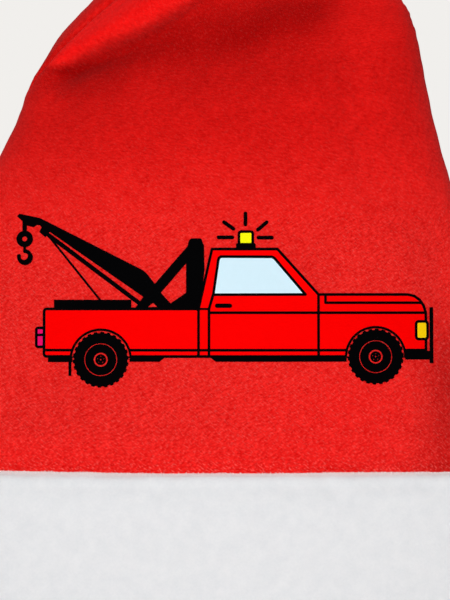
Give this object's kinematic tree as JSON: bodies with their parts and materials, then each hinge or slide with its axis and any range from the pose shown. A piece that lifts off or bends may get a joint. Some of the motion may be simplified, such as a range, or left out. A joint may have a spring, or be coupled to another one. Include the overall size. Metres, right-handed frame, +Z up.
{
  "type": "santa hat",
  "caption": "Plush Santa-style hat: a red fleece cone with a drooping tip and a pompom, on a folded white plush brim, with a tow-truck pictogram on the front.",
  "frame": {"origin": "middle of the head opening, on the surface that the brim's folded edge stands on", "axes": "+Z up, -Y towards the viewer of the printed front, +X to the viewer's right, the side that the tip droops to"},
  "size_m": [0.3127, 0.129, 0.3261],
  "materials": {
    "red_fleece": "matte",
    "white_plush": "matte"
  },
  "bodies": {
    "root": {"crown_front_panel": "red_fleece", "crown_back_panel": "red_fleece", "brim": "white_plush", "pompom": "white_plush"}
  },
  "joints": []
}
